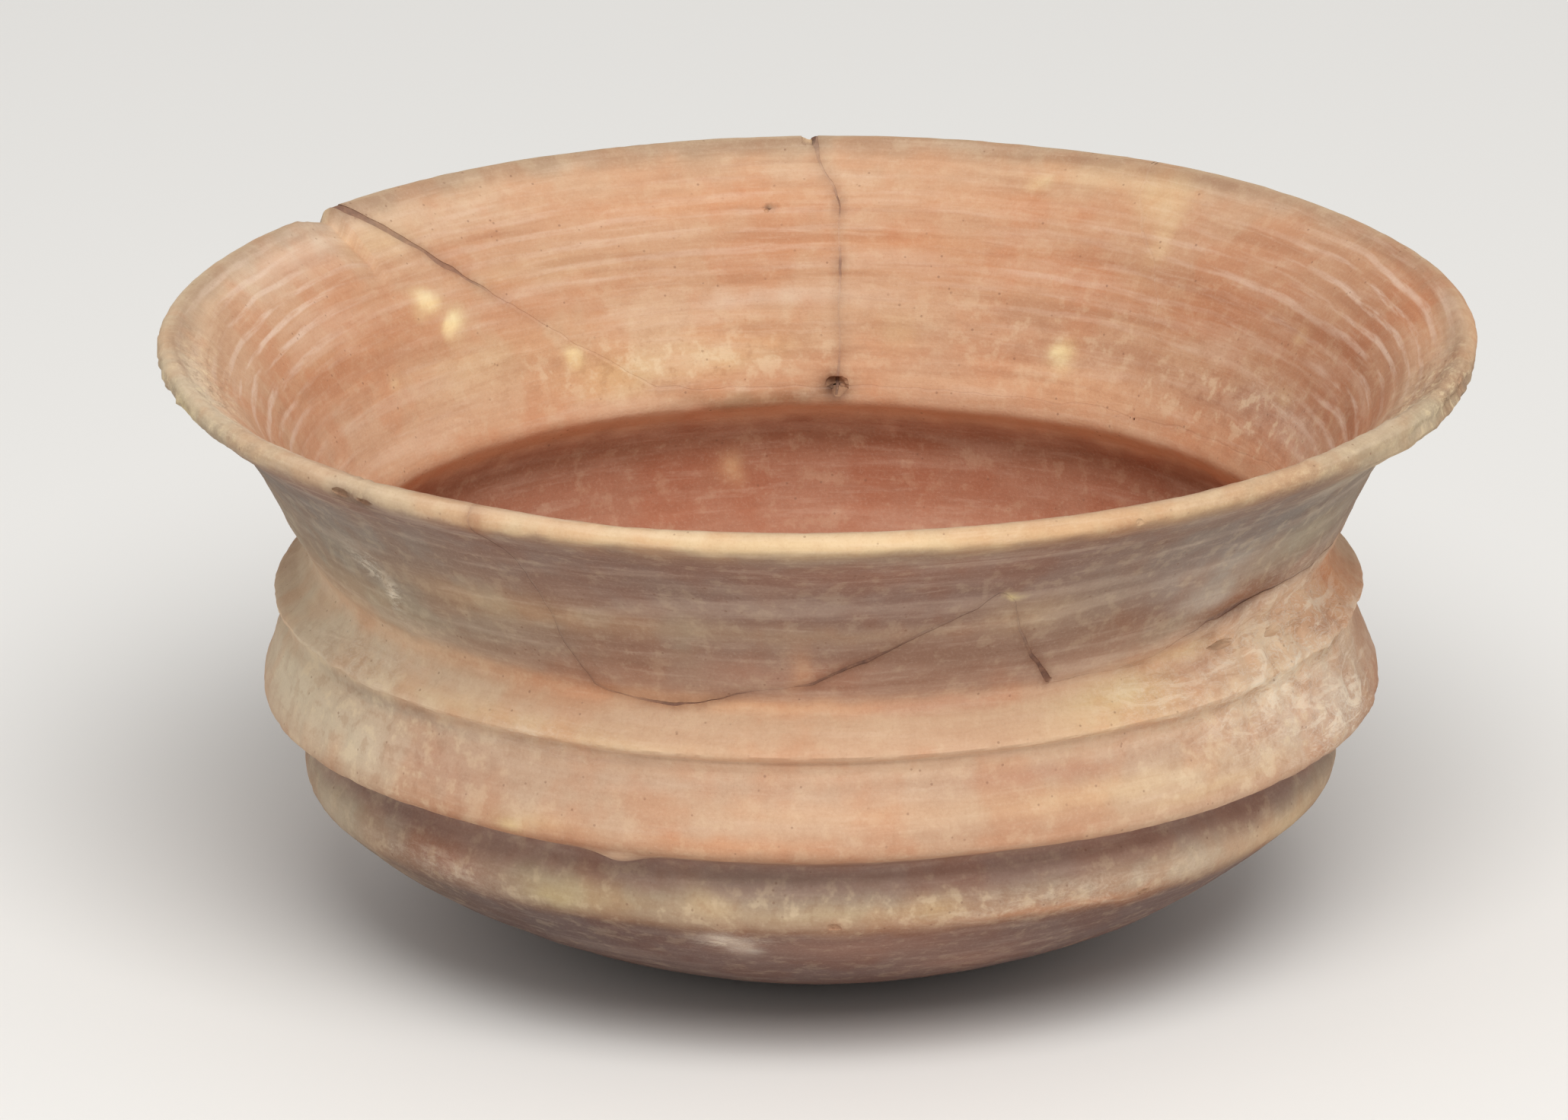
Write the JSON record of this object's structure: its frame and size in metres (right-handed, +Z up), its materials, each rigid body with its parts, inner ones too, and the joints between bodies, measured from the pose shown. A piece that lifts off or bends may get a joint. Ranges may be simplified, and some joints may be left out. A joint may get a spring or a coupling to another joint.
{
  "type": "pottery bowl",
  "caption": "Thin-walled clay bowl with a flaring neck, rounded lip, three ridges and a rounded base, broken and glued together from sherds.",
  "frame": {"origin": "middle of the small worn flat under the rounded base, on the surface that the bowl rests on", "axes": "+Z up along the bowl's axis, -Y to the side that the picture is taken from, +X to its right"},
  "size_m": [0.128, 0.128, 0.0601],
  "materials": {
    "clay_body": "matt unglazed pinkish tan earthenware",
    "clay_neck": "matt unglazed orange to grey brown earthenware",
    "glue": "dull aged adhesive"
  },
  "bodies": {
    "root": {"body_sherd": "clay_body", "neck_sherd_front": "clay_neck", "neck_sherd_back_right": "clay_neck", "neck_sherd_back_left": "clay_neck", "glue_front": "glue", "glue_back_right": "glue", "glue_back_left": "glue", "glue_right_seam": "glue", "glue_back_seam": "glue"}
  },
  "joints": []
}
